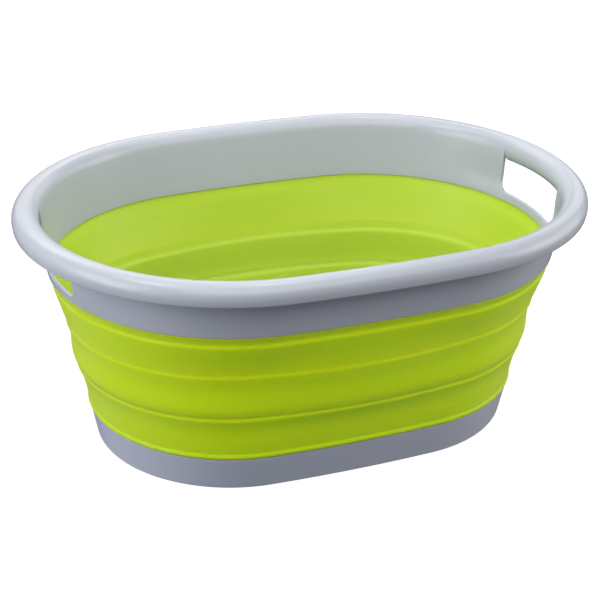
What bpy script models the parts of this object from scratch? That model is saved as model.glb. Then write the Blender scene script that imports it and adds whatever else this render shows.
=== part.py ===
# Oval folding tub: rigid rim with a rolled lip and two hand holes, an elastomer wall
# that folds down in two steps, and a rigid base pan.
#
# Metres, +Z up. X is the long way, Y the short way. The origin is the middle of the
# footprint at the level of the foot, so the tub stands on z = 0.
#
# Every section below is drawn in two numbers: "inset", how far a point lies inside the
# outermost outline of the lip, and "z", its height. The outline is an oval of four arcs,
# and an inset of such an oval is again four arcs on the same centres, so every ring of
# the wall is a true parallel of the lip.

import math

import bmesh
import bpy

# ---------------------------------------------------------------- driving sizes
HALF_LENGTH = 0.3000        # outermost lip, half the long way
HALF_WIDTH = 0.2217         # outermost lip, half the short way
END_RADIUS = 0.2193         # radius of the two end arcs of the lip
HEIGHT = 0.2548             # foot to the top of the lip
SEG_END = 32                # segments in each end arc
SEG_SIDE = 8                # segments in each side arc

GAP = 0.0003                # clearance between neighbouring pieces

# rolled lip: a channel open at the bottom
LIP_R = 0.01356             # outside radius of the roll
LIP_Z = HEIGHT - LIP_R      # height of the roll's centre
LIP_WALL = 0.0026           # thickness of the roll
LIP_SKIRT_Z = 0.2325        # lower edge of the outer skirt
LIP_SKIRT_TUCK = 0.0010     # how far that edge is drawn in

# rim wall, under the lip
RIM_BOTTOM_Z = 0.1883
RIM_OUT_BOTTOM = 0.0320     # inset of the wall's outside at its lower edge
RIM_IN_BOTTOM = 0.0356      # inset of the wall's inside at its lower edge
RIM_OUT_TOP = 0.0243        # the same at the lip
RIM_IN_TOP = 0.0271

# grip: at each hand hole the roll's inner side curls on, down and under
GRIP_CURL = 60.0            # degrees below level where the curl ends
GRIP_HALF_ANGLE = 15.2      # half the sweep of the curl round the end arc

# hand holes, one in each end
HOLE_HALF_WIDTH = 0.0570    # at the top
HOLE_LOW_HALF_WIDTH = 0.0540
HOLE_LOW_Z = 0.1966
HOLE_HIGH_Z = 0.2400        # in the wall; the curl of the grip reaches down into it
HOLE_RADIUS = 0.0080
HOLE_X_IN = 0.2450          # the cutter's reach, from inside the tub ...
HOLE_X_OUT = 0.2820         # ... to the space behind the lip's skirt
GRIP_RIBS = 9
GRIP_RIB_PITCH = 0.0120
GRIP_RIB_THICK = 0.0016
GRIP_RIB_LOW_Z = 0.2272

# elastomer wall
WALL = 0.0024               # thickness, measured level
CUFF_TOP_INSET = 0.0321

# hinge lines of the wall, (inset, z) on the outside
HINGE_1 = (0.0370, 0.1765)  # rim cuff to upper web
HINGE_2 = (0.0456, 0.1395)  # upper web to middle band
HINGE_3 = (0.0537, 0.0872)  # middle band to lower web
HINGE_4 = (0.0686, 0.0400)  # lower web to base cuff

# the middle band's own shape between hinge 2 and hinge 3
BAND_SHOULDER = (0.0512, 0.1240)
BAND_FOOT = (0.0526, 0.0960)
# the lower web is a little hollow just under hinge 3
WEB_WAIST = (0.0602, 0.0712)

# level cuts, as insets, where one moving zone of the wall ends and the next begins
CUT_RIM_WEB = 0.0395
CUT_WEB_A = 0.0433
CUT_WEB_BAND = 0.0474
CUT_BAND_WEB = 0.0553
CUT_WEB_B = 0.0596
CUT_WEB_C = 0.0639
CUT_WEB_BASE = 0.0682

# base pan
BASE_TOP_Z = 0.0368
BASE_TOP_INSET = 0.0684
BASE_FOOT_INSET = 0.0758
BASE_WALL = 0.0032
FOOT_WIDTH = 0.0070
RECESS_Z = 0.0030           # underside of the floor above the foot ring
FLOOR_Z = 0.0062            # top of the floor


# ---------------------------------------------------------------- outline
def outline():
    """Points of the lip's outline with the outward normal at each, once round."""
    c = HALF_LENGTH - END_RADIUS
    g = HALF_WIDTH - END_RADIUS
    k = (c * c - g * g) / (2.0 * g)
    side_radius = HALF_WIDTH + k
    phi = math.atan2(k, c)
    ring = []

    def arc(cx, cy, radius, start, end, count):
        for i in range(count):
            t = start + (end - start) * i / count
            ring.append((cx + radius * math.cos(t), cy + radius * math.sin(t),
                         math.cos(t), math.sin(t)))

    arc(c, 0.0, END_RADIUS, -phi, phi, SEG_END)
    arc(0.0, -k, side_radius, phi, math.pi - phi, SEG_SIDE)
    arc(-c, 0.0, END_RADIUS, math.pi - phi, math.pi + phi, SEG_END)
    arc(0.0, k, side_radius, math.pi + phi, 2.0 * math.pi - phi, SEG_SIDE)
    return ring


RING = outline()


def point(i, inset, z):
    x, y, nx, ny = RING[i % len(RING)]
    return (x - nx * inset, y - ny * inset, z)


def inset_at(line, z):
    """Inset of a polyline of (inset, z), listed top to bottom, at height z."""
    for (d0, z0), (d1, z1) in zip(line, line[1:]):
        if z0 >= z >= z1:
            return d0 + (d1 - d0) * (z0 - z) / (z0 - z1)
    return line[0][0] if z > line[0][1] else line[-1][0]


def z_at(line, inset):
    """Height of a polyline of (inset, z), listed top to bottom, at an inset."""
    for (d0, z0), (d1, z1) in zip(line, line[1:]):
        if d0 <= inset <= d1 and d1 > d0:
            return z0 + (z1 - z0) * (inset - d0) / (d1 - d0)
    return line[0][1] if inset < line[0][0] else line[-1][1]


# ---------------------------------------------------------------- builders
def new_object(name, bm, material, parent=None, smooth=True):
    bmesh.ops.recalc_face_normals(bm, faces=bm.faces)
    mesh = bpy.data.meshes.new(name)
    bm.to_mesh(mesh)
    bm.free()
    if smooth:
        mesh.shade_smooth()
        mesh.set_sharp_from_angle(angle=math.radians(30.0))
    obj = bpy.data.objects.new(name, mesh)
    bpy.context.scene.collection.objects.link(obj)
    if material is not None:
        mesh.materials.append(material)
    if parent is not None:
        obj.parent = parent
        obj.matrix_parent_inverse = parent.matrix_world.inverted()
    return obj


def sweep(section):
    """A closed ring: the section, a list of (inset, z), carried once round the oval."""
    bm = bmesh.new()
    n = len(RING)
    rows = [[bm.verts.new(point(i, d, z)) for d, z in section] for i in range(n)]
    m = len(section)
    for i in range(n):
        a, b = rows[i], rows[(i + 1) % n]
        for j in range(m):
            k = (j + 1) % m
            bm.faces.new((a[j], b[j], b[k], a[k]))
    return bm


def pan(section):
    """As sweep, for an open section whose two ends are closed by flat floors."""
    bm = bmesh.new()
    n = len(RING)
    rows = [[bm.verts.new(point(i, d, z)) for d, z in section] for i in range(n)]
    for i in range(n):
        a, b = rows[i], rows[(i + 1) % n]
        for j in range(len(section) - 1):
            bm.faces.new((a[j], b[j], b[j + 1], a[j + 1]))
    bm.faces.new([row[0] for row in rows])
    bm.faces.new([row[-1] for row in reversed(rows)])
    return bm


def material(name, colour, roughness):
    mat = bpy.data.materials.new(name)
    mat.use_nodes = True
    shader = mat.node_tree.nodes["Principled BSDF"]
    shader.inputs["Base Color"].default_value = (*colour, 1.0)
    shader.inputs["Roughness"].default_value = roughness
    shader.inputs["Metallic"].default_value = 0.0
    mat.diffuse_color = (*colour, 1.0)
    return mat


def empty(name, z):
    obj = bpy.data.objects.new(name, None)
    obj.location = (0.0, 0.0, z)
    obj.empty_display_size = 0.05
    bpy.context.scene.collection.objects.link(obj)
    bpy.context.view_layer.update()
    return obj


def boolean(obj, cutter, operation):
    mod = obj.modifiers.new(operation.lower() + "_" + cutter.name, "BOOLEAN")
    mod.operation = operation
    mod.solver = "EXACT"
    mod.object = cutter
    cutter.hide_render = True
    cutter.display_type = "WIRE"


# ---------------------------------------------------------------- clean start
for old in list(bpy.data.objects):
    bpy.data.objects.remove(old, do_unlink=True)

# ---------------------------------------------------------------- sections
# outside of the whole elastomer wall, top to bottom
WALL_LINE = [
    (CUFF_TOP_INSET, RIM_BOTTOM_Z - GAP),
    HINGE_1,
    HINGE_2,
    BAND_SHOULDER,
    BAND_FOOT,
    HINGE_3,
    WEB_WAIST,
    HINGE_4,
]
WALL_LINE_IN = [(d + WALL, z) for d, z in WALL_LINE]


def strip(inset_from, inset_to, z_top=None, z_low=None):
    """The part of the wall between two level insets, cut straight up and down, so that
    it can slide past its neighbours. z_top and z_low end it level instead."""
    outer, inner = [], []
    top_o = z_at(WALL_LINE, inset_from) if z_top is None else z_top
    top_i = z_at(WALL_LINE_IN, inset_from) if z_top is None else z_top
    low_o = z_at(WALL_LINE, inset_to) if z_low is None else z_low
    low_i = z_at(WALL_LINE_IN, inset_to) if z_low is None else z_low
    outer = [(inset_at(WALL_LINE, top_o), top_o)]
    outer += [(d, z) for d, z in WALL_LINE if low_o + 0.0002 < z < top_o - 0.0002]
    outer += [(inset_at(WALL_LINE, low_o), low_o)]
    inner = [(inset_at(WALL_LINE_IN, low_i), low_i)]
    inner += [(d, z) for d, z in reversed(WALL_LINE_IN)
              if low_i + 0.0002 < z < top_i - 0.0002]
    inner += [(inset_at(WALL_LINE_IN, top_i), top_i)]
    return outer + inner


def rim_section():
    """Rolled lip, open below, and the wall that hangs from its inner side."""
    c, r, t = LIP_R, LIP_R, LIP_WALL
    pts = []
    # outside of the roll, from the skirt's lower edge over the top to the inside
    pts.append((LIP_SKIRT_TUCK, LIP_SKIRT_Z))
    start, end = math.radians(180.0), 0.0
    steps = 12
    for i in range(steps + 1):
        a = start + (end - start) * i / steps
        pts.append((c + r * math.cos(a), LIP_Z + r * math.sin(a)))
    # inside of the rim wall, down to its lower edge
    pts.append((RIM_IN_TOP + 0.0006, LIP_Z - 0.0050))
    pts.append((RIM_IN_BOTTOM, RIM_BOTTOM_Z))
    # outside of the wall, up into the channel
    pts.append((RIM_OUT_BOTTOM, RIM_BOTTOM_Z))
    pts.append((RIM_OUT_TOP, LIP_Z - 0.0050))
    # ceiling of the channel, back to the skirt
    start, end = math.radians(10.0), math.radians(180.0)
    steps = 8
    for i in range(steps + 1):
        a = start + (end - start) * i / steps
        pts.append((c + (r - t) * math.cos(a), LIP_Z + (r - t) * math.sin(a)))
    pts.append((LIP_SKIRT_TUCK + LIP_WALL, LIP_SKIRT_Z))
    return pts


# ---------------------------------------------------------------- materials
pp_light = material("rim_plastic", (0.52, 0.54, 0.60), 0.24)
pp_base = material("base_plastic", (0.25, 0.26, 0.30), 0.38)
tpr_cuff = material("cuff_elastomer", (0.42, 0.56, 0.035), 0.42)
tpr_web = material("web_elastomer", (0.38, 0.52, 0.02), 0.42)
tpr_band = material("band_elastomer", (0.42, 0.57, 0.04), 0.42)
tpr_low_web = material("low_web_elastomer", (0.38, 0.52, 0.02), 0.42)
tpr_low_cuff = material("low_cuff_elastomer", (0.42, 0.56, 0.035), 0.42)

# ---------------------------------------------------------------- joints
# Both folds slide straight up and down on the tub's middle line.
lower_fold = empty("lower_fold_axis", HINGE_4[1])
upper_fold = empty("upper_fold_axis", HINGE_2[1])
upper_fold.parent = lower_fold
upper_fold.matrix_parent_inverse = lower_fold.matrix_world.inverted()
bpy.context.view_layer.update()

# ---------------------------------------------------------------- rim
rim = new_object("rim_frame", sweep(rim_section()), pp_light, upper_fold)

END_CENTRE = HALF_LENGTH - END_RADIUS


def prism(outline_a, outline_b, name):
    """A closed solid between two matching outlines."""
    bm = bmesh.new()
    front = [bm.verts.new(p) for p in outline_a]
    back = [bm.verts.new(p) for p in outline_b]
    bm.faces.new(front)
    bm.faces.new(list(reversed(back)))
    for j in range(len(front)):
        k = (j + 1) % len(front)
        bm.faces.new((front[j], back[j], back[k], front[k]))
    return new_object(name, bm, None, upper_fold, smooth=False)


def hole_outline(x):
    """Rounded window, a little wider at the top, at one x."""
    pts = []
    top, low = HOLE_HALF_WIDTH, HOLE_LOW_HALF_WIDTH
    for sy, half, z, a0, r in ((1, top, HOLE_HIGH_Z, 0.0, 0.002),
                               (-1, top, HOLE_HIGH_Z, 90.0, 0.002),
                               (-1, low, HOLE_LOW_Z, 180.0, HOLE_RADIUS),
                               (1, low, HOLE_LOW_Z, 270.0, HOLE_RADIUS)):
        oy = sy * (half - r)
        oz = z - r if z == HOLE_HIGH_Z else z + r
        steps = 1 if z == HOLE_HIGH_Z else 5
        for i in range(steps + 1):
            a = math.radians(a0 + 90.0 * i / steps)
            pts.append((x, oy + r * math.cos(a), oz + r * math.sin(a)))
    return pts


for side in (1, -1):
    tag = "right" if side > 0 else "left"
    window = prism(hole_outline(side * HOLE_X_IN), hole_outline(side * HOLE_X_OUT),
                   "hand_hole_" + tag)
    boolean(rim, window, "DIFFERENCE")

for side in (1, -1):
    tag = "right" if side > 0 else "left"
    # curl of the grip: part of the roll's own circle, swept round the end arc
    bm = bmesh.new()
    section = []
    steps = 5
    for r in (LIP_R, LIP_R - LIP_WALL):
        arc = [math.radians(-GRIP_CURL + (GRIP_CURL + 8.0) * i / steps)
               for i in range(steps + 1)]
        if r != LIP_R:
            arc.reverse()
        section += [(LIP_R + r * math.cos(a), LIP_Z + r * math.sin(a)) for a in arc]
    slices = 8
    rows = []
    for i in range(slices + 1):
        a = math.radians(-GRIP_HALF_ANGLE + 2.0 * GRIP_HALF_ANGLE * i / slices)
        row = []
        for d, z in section:
            rr = END_RADIUS - d
            row.append(bm.verts.new((side * (END_CENTRE + rr * math.cos(a)),
                                     rr * math.sin(a), z)))
        rows.append(row)
    m = len(section)
    for a, b in zip(rows, rows[1:]):
        for j in range(m):
            k = (j + 1) % m
            bm.faces.new((a[j], b[j], b[k], a[k]))
    bm.faces.new(rows[0])
    bm.faces.new(list(reversed(rows[-1])))
    curl = new_object("grip_curl_" + tag, bm, None, upper_fold)
    boolean(rim, curl, "UNION")

    # ribs across the channel, inside the grip
    for i in range(GRIP_RIBS):
        y = (i - (GRIP_RIBS - 1) / 2.0) * GRIP_RIB_PITCH
        far, near = END_RADIUS - 0.0018, END_RADIUS - 0.0225
        x0 = END_CENTRE + math.sqrt(near ** 2 - y ** 2)
        x1 = END_CENTRE + math.sqrt(far ** 2 - y ** 2)
        h = GRIP_RIB_THICK / 2.0
        prof = [(x0 + 0.0015, GRIP_RIB_LOW_Z), (x1 - 0.0070, GRIP_RIB_LOW_Z),
                (x1 - 0.0010, LIP_SKIRT_Z + 0.0015), (x1, LIP_Z),
                (x1 - 0.0062, LIP_Z + 0.0090), (x0 + 0.0045, LIP_Z + 0.0090),
                (x0 - 0.0015, LIP_Z), (x0 - 0.0005, LIP_Z - 0.0080)]
        rib = prism([(side * px, y - h, pz) for px, pz in prof],
                    [(side * px, y + h, pz) for px, pz in prof],
                    "grip_rib_%s_%d" % (tag, i + 1))
        boolean(rim, rib, "UNION")

# ---------------------------------------------------------------- elastomer wall
g = GAP / 2.0
new_object("upper_cuff",
           sweep(strip(0.0, CUT_RIM_WEB - g, z_top=RIM_BOTTOM_Z - GAP)),
           tpr_cuff, upper_fold)
new_object("upper_web_outer_ring",
           sweep(strip(CUT_RIM_WEB + g, CUT_WEB_A - g)), tpr_web, upper_fold)
new_object("upper_web_inner_ring",
           sweep(strip(CUT_WEB_A + g, CUT_WEB_BAND - g)), tpr_web, upper_fold)
new_object("middle_band",
           sweep(strip(CUT_WEB_BAND + g, CUT_BAND_WEB - g)), tpr_band, lower_fold)
new_object("lower_web_outer_ring",
           sweep(strip(CUT_BAND_WEB + g, CUT_WEB_B - g)), tpr_low_web, lower_fold)
new_object("lower_web_middle_ring",
           sweep(strip(CUT_WEB_B + g, CUT_WEB_C - g)), tpr_low_web, lower_fold)
new_object("lower_web_inner_ring",
           sweep(strip(CUT_WEB_C + g, CUT_WEB_BASE - g)), tpr_low_web, lower_fold)
new_object("lower_cuff",
           sweep(strip(CUT_WEB_BASE + g, 0.2, z_low=BASE_TOP_Z + GAP)),
           tpr_low_cuff)

# ---------------------------------------------------------------- base pan
base_section = [
    (BASE_FOOT_INSET + FOOT_WIDTH + 0.0010, RECESS_Z),
    (BASE_FOOT_INSET + FOOT_WIDTH, 0.0),
    (BASE_FOOT_INSET + 0.0012, 0.0),
    (BASE_FOOT_INSET, 0.0012),
    (BASE_TOP_INSET, BASE_TOP_Z),
    (BASE_TOP_INSET + WALL, BASE_TOP_Z),
    (BASE_FOOT_INSET + BASE_WALL - 0.0002, FLOOR_Z + 0.0060),
    (BASE_FOOT_INSET + BASE_WALL + 0.0022, FLOOR_Z + 0.0016),
    (BASE_FOOT_INSET + BASE_WALL + 0.0072, FLOOR_Z),
]
new_object("base_pan", pan(base_section), pp_base)

bpy.context.view_layer.update()
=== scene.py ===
import math

import bmesh
import bpy
import numpy as np
from mathutils import Matrix, Vector


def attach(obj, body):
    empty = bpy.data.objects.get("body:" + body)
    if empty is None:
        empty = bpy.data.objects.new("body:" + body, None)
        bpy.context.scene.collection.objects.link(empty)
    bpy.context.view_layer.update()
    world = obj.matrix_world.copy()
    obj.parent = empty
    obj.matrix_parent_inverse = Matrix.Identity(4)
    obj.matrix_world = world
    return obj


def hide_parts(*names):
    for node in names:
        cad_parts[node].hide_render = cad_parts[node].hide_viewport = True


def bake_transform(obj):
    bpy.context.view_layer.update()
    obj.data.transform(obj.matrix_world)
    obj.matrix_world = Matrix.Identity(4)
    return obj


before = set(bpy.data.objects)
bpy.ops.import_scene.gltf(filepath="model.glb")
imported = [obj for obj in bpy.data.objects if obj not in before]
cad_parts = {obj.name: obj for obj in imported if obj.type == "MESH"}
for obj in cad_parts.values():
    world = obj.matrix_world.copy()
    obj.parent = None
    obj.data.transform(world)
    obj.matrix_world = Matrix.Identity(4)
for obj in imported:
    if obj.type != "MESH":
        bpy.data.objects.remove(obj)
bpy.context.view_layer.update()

# Millimetres in the tables below, metres in the meshes. A section point is (inset, z): how far
# it lies inside the outermost outline of the lip, and its height above the foot.
MM = 0.001
A, B = 300.0, 221.7          # half length and half width of the lip's outline


# ------------------------------------------------------------------ the oval
def columns(plain_end=150, plain_side=36, marks=()):
    """Places round the oval as (arc, u): arc 0 and 2 are the ends, 1 and 3 the sides, and u
    runs from -1 to 1 along the arc. On the ends, marks are extra angles in degrees."""
    out = []
    for arc in range(4):
        if arc % 2 == 0:
            us = list(np.linspace(-1.0, 1.0, plain_end, endpoint=False))
            if marks:
                phi = math.degrees(oval_numbers(2.4)[3])
                keep = [u for u in us if min(abs(abs(u * phi) - m) for m in marks) > 0.75
                        and not (marks[0] - 0.2 < abs(u * phi) < marks[-1] + 0.2)]
                extra = [s * m / phi for m in marks for s in (-1.0, 1.0)]
                us = sorted(keep + extra)
        else:
            us = list(np.linspace(-1.0, 1.0, plain_side, endpoint=False))
        out += [(arc, u) for u in us]
    return out


def oval_numbers(g):
    """The four-arc oval whose end arcs have radius B - g: (end centre, k, end radius, phi)."""
    re = B - g
    c = A - re
    k = (c * c - g * g) / (2.0 * g)
    return c, k, re, math.atan2(k, c)


def ring(cols, inset, z, g=2.4, swell=0.0):
    """One level ring of points, as an array of (x, y, z) in metres."""
    c, k, re, phi = oval_numbers(g)
    rs = B + k
    pts = np.empty((len(cols), 3))
    for i, (arc, u) in enumerate(cols):
        if arc == 0:
            t = u * phi
            x, y = c + (re - inset) * math.cos(t), (re - inset) * math.sin(t)
        elif arc == 2:
            t = math.pi + u * phi
            x, y = -c + (re - inset) * math.cos(t), (re - inset) * math.sin(t)
        elif arc == 1:
            t = math.pi / 2 + u * (math.pi / 2 - phi)
            x, y = (rs - inset) * math.cos(t), -k + (rs - inset) * math.sin(t)
        else:
            t = 1.5 * math.pi + u * (math.pi / 2 - phi)
            x, y = (rs - inset) * math.cos(t), k + (rs - inset) * math.sin(t)
        if swell:
            y += math.copysign(swell * math.exp(-(x / 75.0) ** 2), y) * min(1.0, abs(y) / 120.0)
        pts[i] = (x, y, z)
    return pts * MM


def table(rows, z):
    """Straight-line reading of a list of (z, value), highest z first."""
    zs = [r[0] for r in rows][::-1]
    vs = [r[1] for r in rows][::-1]
    return float(np.interp(z, zs, vs))


# ------------------------------------------------------------------ mesh helpers
def finish_mesh(name, verts, faces, angle=38.0):
    mesh = bpy.data.meshes.new(name)
    bm = bmesh.new()
    made = [bm.verts.new(v) for v in verts]
    for f in faces:
        bm.faces.new([made[i] for i in f])
    bmesh.ops.recalc_face_normals(bm, faces=bm.faces)
    bm.to_mesh(mesh)
    bm.free()
    mesh.shade_smooth()
    mesh.set_sharp_from_angle(angle=math.radians(angle))
    obj = bpy.data.objects.new(name, mesh)
    bpy.context.scene.collection.objects.link(obj)
    return obj


def closed_sweep(cols, section, verts, faces):
    """section: list of (inset, z, g, swell) once round the wall's thickness."""
    base = len(verts)
    n, m = len(cols), len(section)
    for inset, z, g, s in section:
        verts.extend(ring(cols, inset, z, g, s).tolist())
    for j in range(m):
        a, b = base + j * n, base + ((j + 1) % m) * n
        for i in range(n):
            k = (i + 1) % n
            faces.append((a + i, a + k, b + k, b + i))


def spline(points, step=0.9):
    """Smooth curve through (inset, z) points: centripetal Catmull-Rom, sampled by length."""
    p = np.array(points, float)
    p = np.vstack([2 * p[0] - p[1], p, 2 * p[-1] - p[-2]])
    out = []
    for i in range(1, len(p) - 2):
        p0, p1, p2, p3 = p[i - 1:i + 3]
        t0 = 0.0
        t1 = t0 + math.sqrt(np.linalg.norm(p1 - p0))
        t2 = t1 + math.sqrt(np.linalg.norm(p2 - p1))
        t3 = t2 + math.sqrt(np.linalg.norm(p3 - p2))
        n = max(1, int(math.ceil(np.linalg.norm(p2 - p1) / step)))
        for s in range(n):
            t = t1 + (t2 - t1) * s / n
            a1 = (t1 - t) / (t1 - t0) * p0 + (t - t0) / (t1 - t0) * p1
            a2 = (t2 - t) / (t2 - t1) * p1 + (t - t1) / (t2 - t1) * p2
            a3 = (t3 - t) / (t3 - t2) * p2 + (t - t2) / (t3 - t2) * p3
            b1 = (t2 - t) / (t2 - t0) * a1 + (t - t0) / (t2 - t0) * a2
            b2 = (t3 - t) / (t3 - t1) * a2 + (t - t1) / (t3 - t1) * a3
            out.append(tuple((t2 - t) / (t2 - t1) * b1 + (t - t1) / (t2 - t1) * b2))
    out.append(tuple(p[-2]))
    return out


# ------------------------------------------------------------------ rim
LIP_R, LIP_C, LIP_Z, LIP_T = 13.56, 13.56, 241.24, 2.6
HOLE_T0 = 18.3               # half the hand hole, as an angle on the end arc
HOLE_Z, HOLE_R = 196.6, 11.0  # its lower edge and lower corners
WALL_MID_R = 189.0           # arc radius at which the hole is laid out
EDGE = 0.8                   # rounding of the hole's and the wall's edges
STEPS = (0.0, 0.06, 0.23, 0.5, 0.8)
RIM_LOW = 188.3


def on_roll(r, deg):
    a = math.radians(deg)
    return (LIP_C + r * math.cos(a), LIP_Z + r * math.sin(a))


FLARE = 2.6                # how far the wall stands out beside the hole
HOLE_SHIFT = 3.0             # how far the holes sit towards the front


def smooth(x):
    x = min(1.0, max(0.0, x))
    return x * x * (3.0 - 2.0 * x)


def flare(ang, z):
    """Beside the hole the wall stands upright instead of leaning in; ang in degrees."""
    a = abs(ang)
    across = smooth((a - 9.0) / 7.0) * smooth((40.0 - a) / 20.0)
    height = smooth((238.0 - z) / 30.0) * smooth((z - 188.6) / 19.0)
    return FLARE * across * height


def wall_in(z):
    return 36.2 + (28.6 - 36.2) * (z - RIM_LOW) / (236.3 - RIM_LOW)


def wall_out(z):
    return 32.0 + (24.3 - 32.0) * (z - RIM_LOW) / (236.3 - RIM_LOW)


def hole_distance(s, z):
    """How far a point of the wall is from the edge of the hand hole, in millimetres."""
    half = HOLE_T0 * math.pi / 180.0 * WALL_MID_R
    s = abs(s)
    if z >= HOLE_Z + HOLE_R:
        return s - half
    if s <= half - HOLE_R:
        return HOLE_Z - z
    return math.hypot(s - (half - HOLE_R), HOLE_Z + HOLE_R - z) - HOLE_R


def rounding(d):
    if d >= EDGE:
        return 0.0
    d = max(d, 0.0)
    return EDGE - math.sqrt(max(0.0, EDGE ** 2 - (EDGE - d) ** 2))


def build_rim():
    deg_per_mm = 180.0 / math.pi / WALL_MID_R
    # angles of the special columns: the rounded corner, the hole's edge, the edge's rounding
    corner = [HOLE_T0 - (HOLE_R - HOLE_R * math.sin(math.radians(q))) * deg_per_mm
              for q in (0.0, 15.0, 30.0, 45.0, 57.0, 68.0, 77.0, 84.0)]
    beyond = [HOLE_T0 + d * deg_per_mm for d in STEPS[1:]]
    cols = columns(marks=tuple(corner + [HOLE_T0] + beyond))
    phi = math.degrees(oval_numbers(2.4)[3])

    # shared part of the section: skirt edge, over the roll, down to 45 degrees on the inside
    roll = [(2.45, 235.06), (1.85, 234.90), (1.28, 235.02), (0.88, 235.4), (0.69, 236.0)]
    roll += [(1.36 * ((LIP_Z - z) / 7.64) ** 1.7, z) for z in (237.0, 238.2, 239.3, 240.3)]
    roll += [on_roll(LIP_R, d) for d in np.linspace(180.0, 55.0, 26)]
    # channel ceiling, from the wall's outside to the skirt
    start = -17.5
    ceiling = [on_roll(LIP_R - LIP_T, d) for d in np.linspace(start, 180.0, 22)]
    ceiling += [(2.62, 239.4), (2.70, 238.0), (2.82, 236.6), (2.88, 235.8), (2.76, 235.32)]
    # inside of the wall above the strip under the hole
    z0 = 240.5
    p0, p2 = (wall_in(z0), z0), on_roll(LIP_R, 52.0)
    pc = (26.72, 248.17)
    fillet = []
    for t in np.linspace(0.0, 1.0, 9):
        fillet.append(tuple((1 - t) ** 2 * a + 2 * t * (1 - t) * b + t * t * c
                            for a, b, c in zip(p2, pc, p0)))
    high = HOLE_Z + HOLE_R
    upper_z = [236.0, 231.0, 226.0, 221.0, 216.0, 210.0]
    # where the roll's circle runs through the outside of the wall
    lo_a, hi_a = -60.0, -17.5
    for _ in range(60):
        mid = (lo_a + hi_a) / 2
        d, z = on_roll(LIP_R, mid)
        if d < wall_out(z):
            lo_a = mid
        else:
            hi_a = mid
    cross = mid
    curl_in = [on_roll(LIP_R, d) for d in (50, 45, 40, 34, 28, 22, 16, 10, 4, -2, -8, -14, -20, -26, -31)]
    curl_cross = on_roll(LIP_R, cross)
    curl_low = [on_roll(LIP_R, d) for d in (-39, -44, -50, -56, -61)]
    rm, ht = LIP_R - LIP_T / 2, LIP_T / 2
    tip = []
    for q in (20, 50, 90, 130, 160):
        r = rm + ht * math.cos(math.radians(q))
        a = -61.0 - math.degrees(ht * math.sin(math.radians(q)) / rm)
        tip.append(on_roll(r, a))
    curl_out = [on_roll(LIP_R - LIP_T, d) for d in (-61, -54, -47, -40, -33, -25)]

    verts, faces = [], []
    store = []

    def put(arc, u, inset, z):
        if arc % 2 == 0:
            side = -1.0 if arc == 0 else 1.0
            u += side * HOLE_SHIFT * deg_per_mm * smooth((56.0 - abs(u * phi)) / 28.0) / phi
        verts.append(ring([(arc, u)], inset, z)[0].tolist())
        return len(verts) - 1

    for arc, u in cols:
        ang = u * phi if arc % 2 == 0 else 90.0
        s = ang / deg_per_mm
        gap = abs(ang) - HOLE_T0
        kind = "T" if abs(gap) < 1e-6 else ("W" if gap > 0 else "H")
        col = {"kind": kind}
        col["roll"] = [put(arc, u, *p) for p in roll]
        col["ceil"] = [put(arc, u, *p) for p in ceiling]
        half = HOLE_T0 / deg_per_mm
        if kind == "H":
            if abs(s) <= half - HOLE_R:
                top = HOLE_Z
            else:
                top = high - math.sqrt(max(0.0, HOLE_R ** 2 - (abs(s) - (half - HOLE_R)) ** 2))
        else:
            top = high
        # strip: rows from its top edge to the wall's lower edge
        low_rows = [RIM_LOW + d for d in reversed(STEPS)]
        top_rows = [top - d for d in STEPS]
        a, b = top_rows[-1], low_rows[0]
        mids = [a + (b - a) * f for f in (0.3, 0.65)]
        zs = top_rows + mids + low_rows
        inner, outer = [], []
        for z in zs:
            pinch = max(rounding(hole_distance(s, z)) if arc % 2 == 0 else 0.0,
                        rounding(z - RIM_LOW))
            out = flare(ang, z)
            inner.append(put(arc, u, wall_in(z) - out - pinch, z))
            outer.append(put(arc, u, wall_out(z) - out + pinch, z))
        col["sin"], col["sout"] = inner, outer[::-1]
        if kind in "WT":
            win = [put(arc, u, *p) for p in fillet[1:]]
            wout = []
            for z in upper_z:
                d = hole_distance(s, z) if arc % 2 == 0 else 9.0
                fade = min(1.0, max(0.0, (234.0 - z) / 5.0))
                out = flare(ang, z)
                win.append(put(arc, u, wall_in(z) - out - rounding(d) * fade, z))
                if z < 232.0:
                    fade = min(1.0, max(0.0, (230.0 - z) / 4.0))
                    wout.append(put(arc, u, wall_out(z) - out + rounding(d) * fade, z))
            wout = wout[::-1]
            cross_v = put(arc, u, *curl_cross)
            wout.append(cross_v)
            col["win"], col["wout"] = win, wout
        if kind in "HT":
            col["cin"] = [put(arc, u, *p) for p in curl_in]
            col["cross"] = cross_v if kind == "T" else put(arc, u, *curl_cross)
            col["clow"] = [put(arc, u, *p) for p in curl_low]
            col["tip"] = [put(arc, u, *p) for p in tip]
            col["cout"] = [put(arc, u, *p) for p in curl_out]
        store.append(col)

    def full(c):
        return c["roll"] + c["win"] + c["sin"] + c["sout"] + c["wout"] + c["ceil"]

    def hook(c):
        return c["roll"] + c["cin"] + [c["cross"]] + c["clow"] + c["tip"] + c["cout"] + c["ceil"]

    def strip(c):
        return c["sin"] + c["sout"]

    def bridge(p, q):
        m = len(p)
        for j in range(m):
            k = (j + 1) % m
            faces.append((p[j], q[j], q[k], p[k]))

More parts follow.
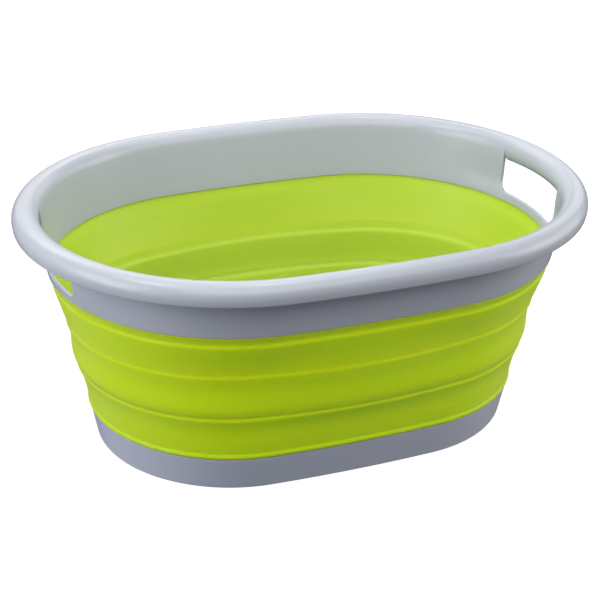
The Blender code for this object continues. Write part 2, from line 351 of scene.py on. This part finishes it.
    n = len(store)
    for i in range(n):
        c, d = store[i], store[(i + 1) % n]
        kinds = c["kind"] + d["kind"]
        if "H" in kinds:
            bridge(hook(c), hook(d))
            bridge(strip(c), strip(d))
        else:
            bridge(full(c), full(d))
        if c["kind"] == "T":
            inside = c["win"] + [c["sin"][0]]
            outside = c["wout"][:-1][::-1] + [c["sout"][-1]]
            shift = len(inside) - len(outside)
            for j in range(len(outside) - 1):
                faces.append([inside[shift + j], outside[j], outside[j + 1], inside[shift + j + 1]])
            faces.append([c["roll"][-1]] + c["cin"] + [c["cross"], outside[0]]
                         + inside[:shift + 1][::-1])
            faces.append([c["ceil"][0], c["cross"]] + c["clow"] + c["tip"] + c["cout"])

    # ribs across the channel under each grip
    for side in (1.0, -1.0):
        for q in range(13):
            y = (q - 6) * 8.0 - HOLE_SHIFT
            prof = [on_roll(LIP_R - LIP_T - 0.06, d) for d in np.linspace(172.0, -48.0, 16)]
            prof += [(19.0, 228.9), (18.4, 228.15), (14.0, 228.3), (10.5, 229.5), (6.4, 233.4),
                     (4.2, 237.0)]
            c, k, re, ph = oval_numbers(2.4)
            first = len(verts)
            for yy in (y - 0.7, y + 0.7):
                for d, z in prof:
                    rr = re - d
                    verts.append([side * (c + math.sqrt(rr * rr - yy * yy)) * MM, yy * MM, z * MM])
            m = len(prof)
            faces.append(list(range(first, first + m)))
            faces.append(list(range(first + 2 * m - 1, first + m - 1, -1)))
            for j in range(m):
                e = (j + 1) % m
                faces.append((first + j, first + e, first + m + e, first + m + j))
    return finish_mesh("rim_shell", verts, faces)


# ------------------------------------------------------------------ folding wall
SEAM_Z = 89.4                # where the wall's two meshes meet, under the middle band
G_ROWS = [(190, 2.4), (178, 2.5), (165, 4.2), (150, 7.4), (138, 9.8), (126, 9.6), (108, 8.2),
          (96, 7.2), (86, 6.4), (70, 4.4), (56, 3.0), (42, 2.8), (30, 2.8)]
SWELL_ROWS = [(190, 0.0), (177, 0.0), (160, 0.6), (138, 1.3), (108, 1.3), (86, 1.1), (66, 0.5),
              (46, 0.0), (30, 0.0)]

OUTSIDE = [
    (32.9, 187.98), (32.35, 187.75), (32.3, 187.2), (33.5, 184.4), (35.0, 181.6),
    (35.9, 180.1), (36.45, 178.95), (36.68, 178.0), (36.6, 177.0), (36.35, 176.0),
    (36.3, 174.9), (36.5, 173.5), (37.0, 171.4), (38.25, 167.2), (40.5, 160.0), (42.9, 151.9),
    (44.4, 147.0), (45.55, 143.6), (46.35, 141.2), (46.9, 139.6), (47.25, 138.4), (47.42, 137.4),
    (47.4, 136.5), (47.36, 135.6), (47.5, 134.4), (48.05, 132.2), (49.05, 129.6), (50.25, 126.0),
    (51.25, 121.6), (51.95, 116.0), (52.3, 108.7), (52.34, 107.3), (52.6, 101.0), (53.1, 97.2),
    (53.95, 94.2), (54.9, 91.8), (55.7, 89.9), (56.3, 88.5), (56.7, 87.5), (56.85, 86.7),
    (56.8, 86.0), (56.72, 85.2), (56.85, 84.2), (57.3, 82.8), (58.6, 79.8), (60.7, 74.4),
    (62.6, 68.4), (64.4, 61.0), (65.8, 54.0), (66.85, 48.2), (67.4, 45.6), (67.75, 44.3), (67.9, 43.3), (67.7, 42.3), (67.25, 41.3), (66.98, 40.3),
    (66.92, 39.4), (67.1, 38.4), (67.5, 37.6), (68.3, 37.08),
]
INSIDE = [
    (35.0, 187.98), (35.55, 187.7), (35.6, 186.8), (36.0, 184.8), (37.3, 180.8), (39.2, 174.0),
    (42.5, 162.0), (46.1, 148.0), (49.0, 137.0), (50.05, 132.8), (50.6, 130.8), (51.1, 129.4),
    (51.75, 128.2), (52.5, 127.1), (53.15, 125.9), (53.7, 124.2), (54.25, 120.0), (54.7, 114.0),
    (54.85, 108.7), (54.89, 107.3), (55.1, 101.0), (55.6, 96.0), (56.5, 92.4),
    (57.4, 89.9), (58.05, 88.3), (58.65, 87.2), (59.35, 86.2), (60.15, 85.1), (60.85, 83.7),
    (61.55, 81.6), (62.8, 77.4), (65.0, 67.6), (67.3, 57.6), (69.3, 48.5), (70.3, 43.0),
    (70.7, 39.5), (70.65, 37.6), (70.3, 37.08),
]


def above(curve):
    return [p for p in curve if p[1] >= SEAM_Z]


def below(curve):
    upper = above(curve)
    return upper[-1:] + curve[len(upper):]


def build_wall(name, part):
    """One closed section of the folding wall with the bow and swell of each height. Faces that
    look into the tub get the second material, the lime copy with painted shade and painted sheen."""
    cols = columns()
    out, back = part(spline(OUTSIDE)), part(spline(INSIDE))[::-1]
    section = [(d, z, table(G_ROWS, z), table(SWELL_ROWS, z)) for d, z in out + back]
    verts, faces = [], []
    closed_sweep(cols, section, verts, faces)
    obj = finish_mesh(name, verts, faces, angle=50.0)
    for poly in obj.data.polygons:
        row = poly.index // len(cols)
        # faces looking into the tub get the lime copy with painted shade and painted sheen
        poly.material_index = 0 if row < len(out) else 1
    return obj


# ------------------------------------------------------------------ base
def build_base():
    cols = columns()
    n = len(cols)
    top_o, foot_o = 68.4, 75.8

    def skirt(z):
        return foot_o + (top_o - foot_o) * (z / 36.8)

    outer = [(69.6, 36.78), (69.05, 36.75), (68.72, 36.55), (68.55, 36.1)]
    outer += [(skirt(z), z) for z in (34.0, 30.0, 25.0, 20.0, 15.0, 10.0, 5.0, 2.2)]
    outer += [(75.62, 1.1), (75.95, 0.45), (76.5, 0.08), (77.2, 0.0), (81.6, 0.0), (82.1, 0.12),
              (82.5, 0.5), (82.7, 1.1), (82.95, 2.2), (83.4, 2.8), (84.2, 3.0)]
    # recess under the floor, with a shallow stiffening ring
    outer += [(104.0, 3.0), (104.7, 2.85), (105.1, 2.3), (105.5, 2.0), (106.2, 1.9),
              (108.8, 1.9), (109.5, 2.0), (109.9, 2.3), (110.3, 2.85), (111.0, 3.0), (140.0, 3.0)]
    inner = [(150.0, 6.2), (101.0, 6.2), (100.3, 6.15), (99.7, 5.95), (99.0, 5.7), (98.2, 5.6),
             (88.6, 5.6), (86.8, 5.75), (84.6, 6.4), (82.4, 7.9), (80.6, 10.2), (79.5, 13.0),
             (78.7, 16.5), (77.0, 25.0), (75.2, 33.0), (74.6, 35.6), (74.3, 36.3), (73.8, 36.68),
             (73.2, 36.78)]
    section = [(d, z) for d, z in outer]
    verts, faces = [], []
    for d, z in section:
        verts.extend(ring(cols, d, z, 2.4).tolist())
    m = len(section)
    for j in range(m - 1):
        for i in range(n):
            k = (i + 1) % n
            faces.append((j * n + i, j * n + k, (j + 1) * n + k, (j + 1) * n + i))
    faces.append([(m - 1) * n + i for i in range(n)])
    start = len(verts)
    for d, z in inner:
        verts.extend(ring(cols, d, z, 2.4).tolist())
    q = len(inner)
    for j in range(q - 1):
        for i in range(n):
            k = (i + 1) % n
            a, b = start + j * n, start + (j + 1) * n
            faces.append((a + i, a + k, b + k, b + i))
    faces.append([start + i for i in range(n)][::-1])
    for i in range(n):
        k = (i + 1) % n
        a = start + (q - 1) * n
        faces.append((i, k, a + k, a + i))
    return finish_mesh("base_shell", verts, faces)


rim = build_rim()
wall_high = build_wall("fold_wall_high", above)
wall_low = build_wall("fold_wall_low", below)
base = build_base()


# ------------------------------------------------------------------ materials
def plastic(name, dark, light, rough_low, rough_high, grain, bump):
    """Moulded plastic: slow tone change, finer mottling, faint grain in gloss and relief."""
    mat = bpy.data.materials.new(name)
    mat.use_nodes = True
    nt = mat.node_tree
    shader = nt.nodes["Principled BSDF"]
    place = nt.nodes.new("ShaderNodeTexCoord")
    slow = nt.nodes.new("ShaderNodeTexNoise")
    slow.inputs["Scale"].default_value = 7.0
    slow.inputs["Detail"].default_value = 3.0
    fine = nt.nodes.new("ShaderNodeTexNoise")
    fine.inputs["Scale"].default_value = grain
    fine.inputs["Detail"].default_value = 2.0
    mix = nt.nodes.new("ShaderNodeMath")
    mix.operation = "MULTIPLY_ADD"
    mix.inputs[1].default_value = 0.35
    half = nt.nodes.new("ShaderNodeMath")
    half.operation = "MULTIPLY"
    half.inputs[1].default_value = 0.65
    tone = nt.nodes.new("ShaderNodeMix")
    tone.data_type = "RGBA"
    tone.inputs[6].default_value = (*dark, 1.0)
    tone.inputs[7].default_value = (*light, 1.0)
    gloss = nt.nodes.new("ShaderNodeMapRange")
    gloss.inputs["From Min"].default_value = 0.3
    gloss.inputs["From Max"].default_value = 0.7
    gloss.inputs["To Min"].default_value = rough_low
    gloss.inputs["To Max"].default_value = rough_high
    wave = nt.nodes.new("ShaderNodeTexNoise")
    wave.inputs["Scale"].default_value = 60.0
    wave.inputs["Detail"].default_value = 1.0
    relief = nt.nodes.new("ShaderNodeBump")
    relief.inputs["Strength"].default_value = bump
    relief.inputs["Distance"].default_value = 0.0006
    link = nt.links.new
    for tex in (slow, fine, wave):
        link(place.outputs["Object"], tex.inputs["Vector"])
    link(slow.outputs["Fac"], half.inputs[0])
    link(fine.outputs["Fac"], mix.inputs[0])
    link(half.outputs[0], mix.inputs[2])
    link(mix.outputs[0], tone.inputs["Factor"])
    link(tone.outputs[2], shader.inputs["Base Color"])
    link(fine.outputs["Fac"], gloss.inputs["Value"])
    link(gloss.outputs["Result"], shader.inputs["Roughness"])
    link(wave.outputs["Fac"], relief.inputs["Height"])
    link(relief.outputs["Normal"], shader.inputs["Normal"])
    shader.inputs["Metallic"].default_value = 0.0
    shader.inputs["IOR"].default_value = 1.49
    return mat, shader


rim_mat, rim_shader = plastic("rim_polypropylene", (0.458, 0.483, 0.538), (0.472, 0.497, 0.552),
                              0.235, 0.262, 260.0, 0.12)
base_mat, base_shader = plastic("base_polypropylene", (0.445, 0.475, 0.555), (0.475, 0.505, 0.585),
                                0.30, 0.34, 360.0, 0.15)
# The wall is one lime elastomer in two copies that differ only by painted light: the outside copy is
# brighter (painted light), the inside copy darker and bluer (painted shade and a whitish painted sheen).
lime_outside_lit_mat, lime_outside_lit_shader = plastic("lime_elastomer", (0.575, 0.765, 0.002), (0.605, 0.800, 0.004),
                                0.44, 0.52, 700.0, 0.25)
# inside copy of the same lime: darker for painted shade, bluer for a whitish painted sheen
lime_inside_shade_sheen_mat, lime_inside_shade_sheen_shader = plastic("lime_elastomer_inside_painted_shade_and_sheen", (0.485, 0.645, 0.038),
                                (0.510, 0.675, 0.048), 0.44, 0.52, 700.0, 0.25)

# the elastomer is a little translucent, so light from the inside of the tub comes through
for shader in (lime_outside_lit_shader, lime_inside_shade_sheen_shader):
    shader.inputs["Subsurface Weight"].default_value = 0.75
    shader.inputs["Subsurface Radius"].default_value = (1.0, 1.0, 0.2)
    shader.inputs["Subsurface Scale"].default_value = 0.006

for obj, mats in ((rim, [rim_mat]), (base, [base_mat]), (wall_high, [lime_outside_lit_mat, lime_inside_shade_sheen_mat]),
                  (wall_low, [lime_outside_lit_mat, lime_inside_shade_sheen_mat])):
    for mat in mats:
        obj.data.materials.append(mat)

# ------------------------------------------------------------------ what moves with what
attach(rim, "rim")
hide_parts("rim_frame")

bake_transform(wall_high)
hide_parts("upper_cuff", "upper_web_outer_ring", "upper_web_inner_ring", "middle_band")

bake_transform(wall_low)
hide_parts("lower_web_outer_ring", "lower_web_middle_ring", "lower_web_inner_ring",
            "lower_cuff")

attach(base, "base")
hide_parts("base_pan")

# ------------------------------------------------------------------ floor
floor_mesh = bpy.data.meshes.new("floor")
size = 9.0
floor_mesh.from_pydata([(-size, -size, 0), (size, -size, 0), (size, size, 0), (-size, size, 0)],
                       [], [(0, 1, 2, 3)])
floor = bpy.data.objects.new("floor", floor_mesh)
bpy.context.scene.collection.objects.link(floor)
floor.location.z = -0.0002
floor_mat = bpy.data.materials.new("floor_paper")
floor_mat.use_nodes = True
floor_shader = floor_mat.node_tree.nodes["Principled BSDF"]
floor_shader.inputs["Base Color"].default_value = (0.30, 0.30, 0.30, 1.0)
floor_shader.inputs["Roughness"].default_value = 0.9
floor_shader.inputs["Specular IOR Level"].default_value = 0.1
floor_shader.inputs["Emission Color"].default_value = (1.0, 1.0, 1.0, 1.0)
floor_shader.inputs["Emission Strength"].default_value = 0.88
floor_mesh.materials.append(floor_mat)
floor.visible_diffuse = False
floor.visible_glossy = False


# ------------------------------------------------------------------ light
def softbox(name, place, aim, width, height, power, colour=(1.0, 1.0, 1.0)):
    data = bpy.data.lights.new(name, "AREA")
    data.shape = "RECTANGLE"
    data.size, data.size_y = width, height
    data.energy = power
    data.color = colour
    obj = bpy.data.objects.new(name, data)
    bpy.context.scene.collection.objects.link(obj)
    obj.location = place
    obj.rotation_euler = (Vector(aim) - Vector(place)).to_track_quat("-Z", "Y").to_euler()
    return obj


MIDDLE = (0.0, 0.0, 0.13)
softbox("top", (0.0, 0.25, 1.9), MIDDLE, 1.8, 1.4, 12.5)
softbox("top_back", (0.0, 1.7, 1.7), MIDDLE, 2.2, 0.8, 16.5)
softbox("top_front", (-0.3, -1.5, 2.0), MIDDLE, 2.4, 1.7, 28.0)
softbox("left", (-1.9, -0.2, 0.9), MIDDLE, 1.3, 1.3, 16.5)
softbox("left_front", (-1.95, -0.75, 0.55), MIDDLE, 1.2, 1.0, 5.2)
softbox("right_front", (1.9, -0.9, 0.9), MIDDLE, 1.2, 1.2, 9.5)
softbox("right_low", (1.9, -0.3, 0.55), MIDDLE, 1.8, 1.1, 9.5)
softbox("front_right_high", (1.3, -1.4, 1.5), MIDDLE, 1.2, 0.9, 3.0)
softbox("small_top", (0.27, 0.33, 1.9), (0.1, 0.2, 0.25), 0.34, 0.30, 2.2)
softbox("small_left", (-0.95, 0.0, 1.9), (-0.2, -0.2, 0.25), 0.45, 0.40, 5.0)
softbox("back", (0.0, 2.2, 0.9), MIDDLE, 2.2, 1.0, 6.4)
softbox("back_right", (1.7, 1.5, 1.0), MIDDLE, 1.2, 1.2, 5.8)

world = bpy.data.worlds.new("studio")
bpy.context.scene.world = world
world.use_nodes = True
nt = world.node_tree
back = nt.nodes["Background"]
coord = nt.nodes.new("ShaderNodeTexCoord")
split = nt.nodes.new("ShaderNodeSeparateXYZ")
ramp = nt.nodes.new("ShaderNodeValToRGB")
ramp.color_ramp.elements[0].position = 0.48
ramp.color_ramp.elements[0].color = (0.075, 0.082, 0.120, 1.0)
ramp.color_ramp.elements[1].position = 0.53
ramp.color_ramp.elements[1].color = (0.03, 0.03, 0.03, 1.0)
lift = nt.nodes.new("ShaderNodeMath")
lift.operation = "MULTIPLY_ADD"
lift.inputs[1].default_value = 0.5
lift.inputs[2].default_value = 0.5
nt.links.new(coord.outputs["Generated"], split.inputs[0])
nt.links.new(split.outputs["Z"], lift.inputs[0])
nt.links.new(lift.outputs[0], ramp.inputs["Fac"])
# paper that glows softly, low on the left and fainter low on the right
sky = ramp.outputs["Color"]
for where, colour in (((-0.84, 0.32, -0.44), (0.50, 0.53, 0.62, 1.0)),
                      ((0.86, -0.25, -0.44), (0.27, 0.27, 0.24, 1.0))):
    glow = nt.nodes.new("ShaderNodeVectorMath")
    glow.operation = "DOT_PRODUCT"
    glow.inputs[1].default_value = where
    spread = nt.nodes.new("ShaderNodeMapRange")
    spread.interpolation_type = "SMOOTHSTEP"
    spread.inputs["From Min"].default_value = 0.45
    spread.inputs["From Max"].default_value = 0.95
    paper = nt.nodes.new("ShaderNodeMix")
    paper.data_type = "RGBA"
    paper.blend_type = "ADD"
    paper.inputs[7].default_value = colour
    nt.links.new(coord.outputs["Generated"], glow.inputs[0])
    nt.links.new(glow.outputs["Value"], spread.inputs["Value"])
    nt.links.new(spread.outputs["Result"], paper.inputs["Factor"])
    nt.links.new(sky, paper.inputs[6])
    sky = paper.outputs[2]
nt.links.new(sky, back.inputs["Color"])
back.inputs["Strength"].default_value = 1.0

bpy.context.scene.view_settings.view_transform = "Standard"
bpy.context.scene.view_settings.look = "None"
bpy.context.scene.view_settings.exposure = 0.0
bpy.context.scene.view_settings.gamma = 1.0

# ------------------------------------------------------------------ camera
camera_data = bpy.data.cameras.new("camera")
camera_data.sensor_fit = "AUTO"
camera_data.sensor_width = 36.0
camera_data.lens = 94.98
camera_data.clip_start, camera_data.clip_end = 0.05, 50.0
camera_data.dof.use_dof = False
camera = bpy.data.objects.new("camera", camera_data)
bpy.context.scene.collection.objects.link(camera)
right = Vector((0.92884121, -0.37019033, 0.01459877))
up = Vector((0.14695299, 0.40431857, 0.90273546))
away = Vector((0.34008649, 0.83635257, -0.42994832))
place = Vector((-0.574269, -1.403775, 0.848374))
camera.matrix_world = Matrix((
    (right.x, up.x, -away.x, place.x),
    (right.y, up.y, -away.y, place.y),
    (right.z, up.z, -away.z, place.z),
    (0.0, 0.0, 0.0, 1.0)))
bpy.context.scene.camera = camera

# ------------------------------------------------------------------ final update
bpy.context.view_layer.update()
